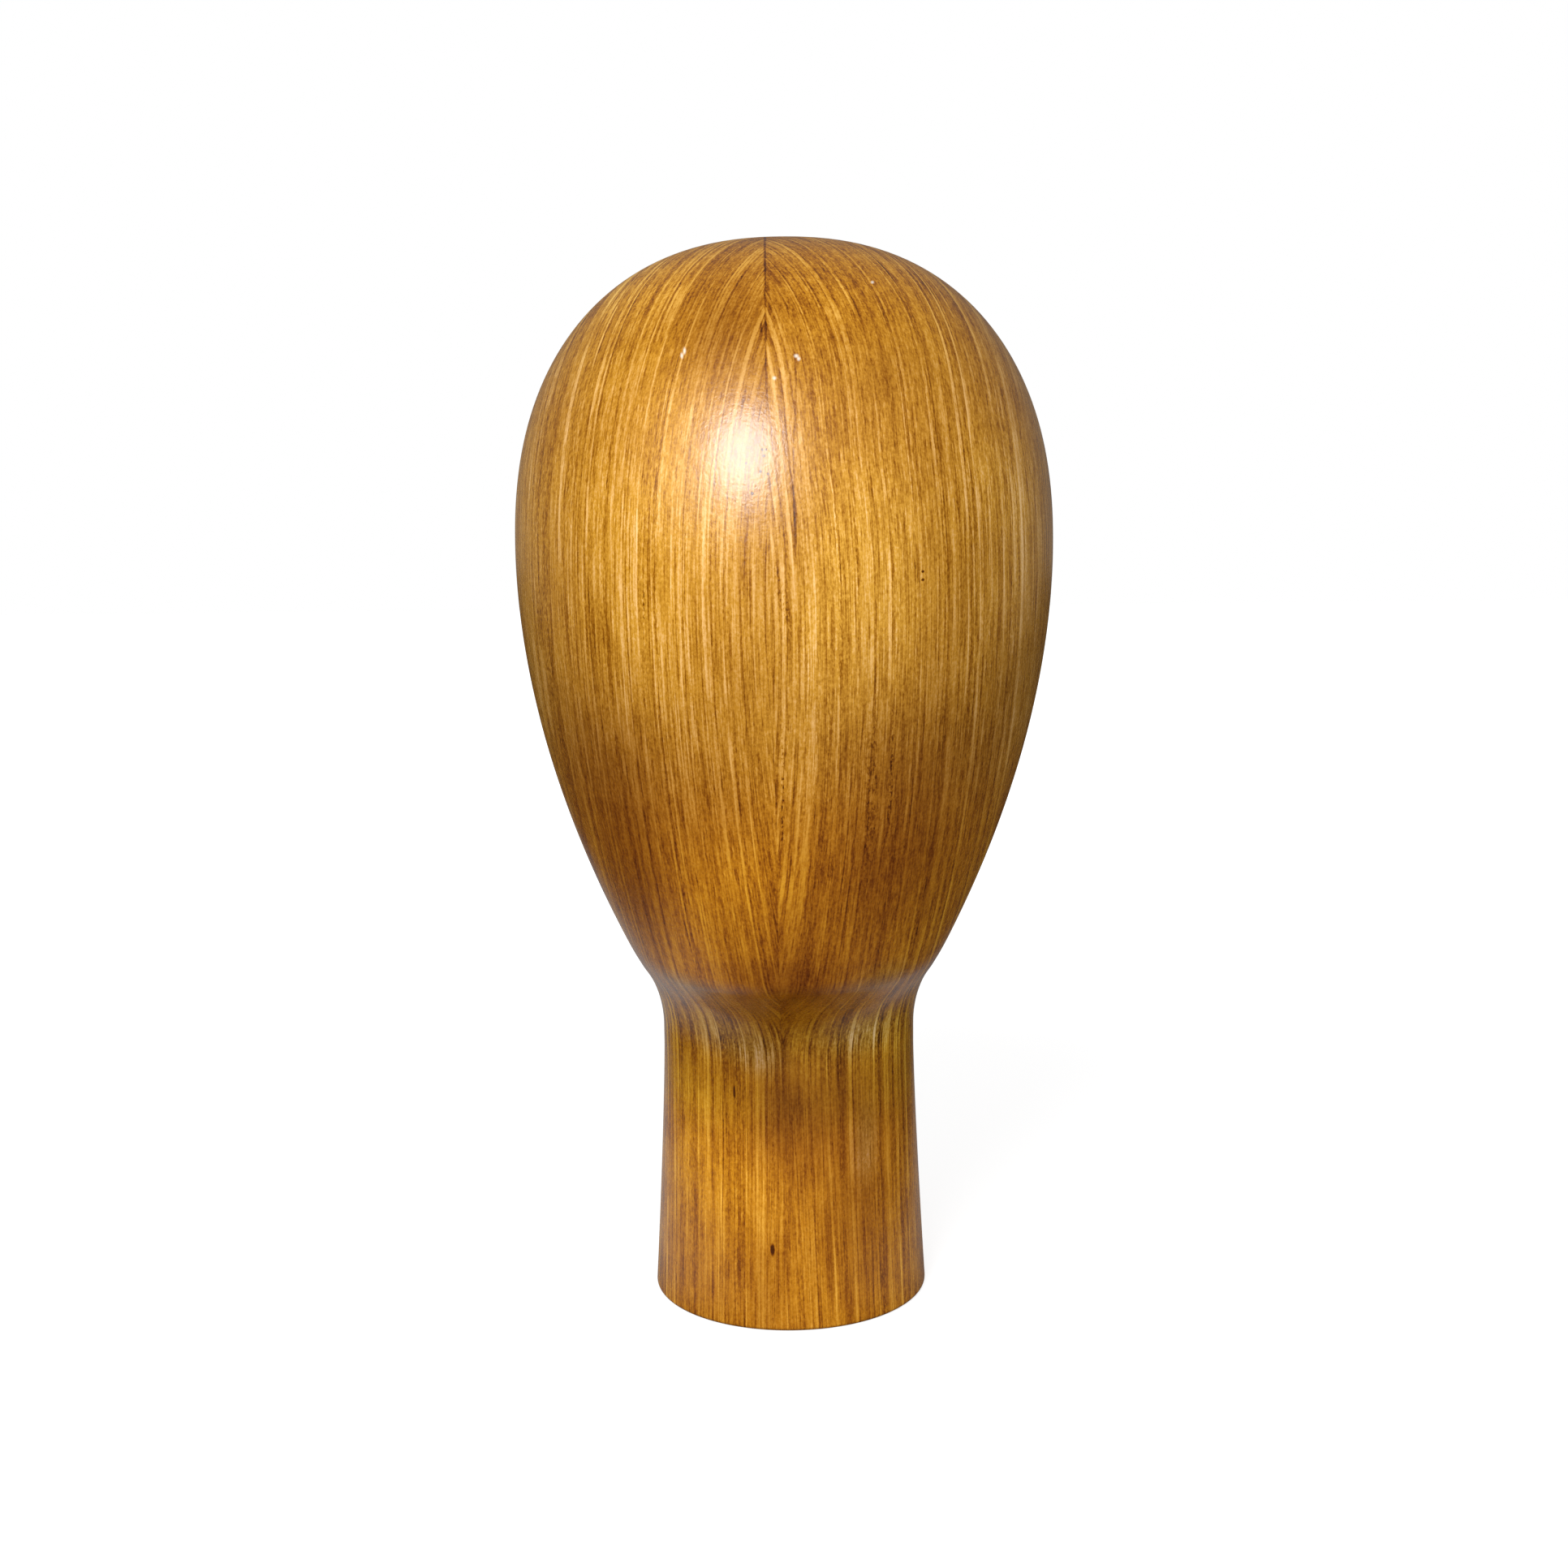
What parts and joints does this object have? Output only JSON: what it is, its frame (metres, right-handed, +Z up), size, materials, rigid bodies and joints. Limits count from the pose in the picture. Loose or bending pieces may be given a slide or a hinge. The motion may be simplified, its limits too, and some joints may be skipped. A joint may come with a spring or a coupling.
{
  "type": "wig stand",
  "caption": "Faceless wooden head form on a round neck with a flat foot, carved from a book-matched laminated block and varnished, for holding and styling a wig.",
  "frame": {"origin": "centre of the round foot, on the surface that the stand rests on", "axes": "+Z up along the neck, -Y the way the face looks, +X to the right as seen from the front"},
  "size_m": [0.1756, 0.191, 0.356],
  "materials": {
    "varnished_wood": "golden stained laminated wood under a clear semi-gloss varnish"
  },
  "bodies": {
    "root": {"left_board_1": "varnished_wood", "left_board_2": "varnished_wood", "left_board_3": "varnished_wood", "left_board_4": "varnished_wood", "left_board_5": "varnished_wood", "left_board_6": "varnished_wood", "left_board_7": "varnished_wood", "left_board_8": "varnished_wood", "left_board_9": "varnished_wood", "left_board_10": "varnished_wood", "right_board_1": "varnished_wood", "right_board_2": "varnished_wood", "right_board_3": "varnished_wood", "right_board_4": "varnished_wood", "right_board_5": "varnished_wood", "right_board_6": "varnished_wood", "right_board_7": "varnished_wood", "right_board_8": "varnished_wood", "right_board_9": "varnished_wood", "right_board_10": "varnished_wood", "right_board_11": "varnished_wood"}
  },
  "joints": []
}
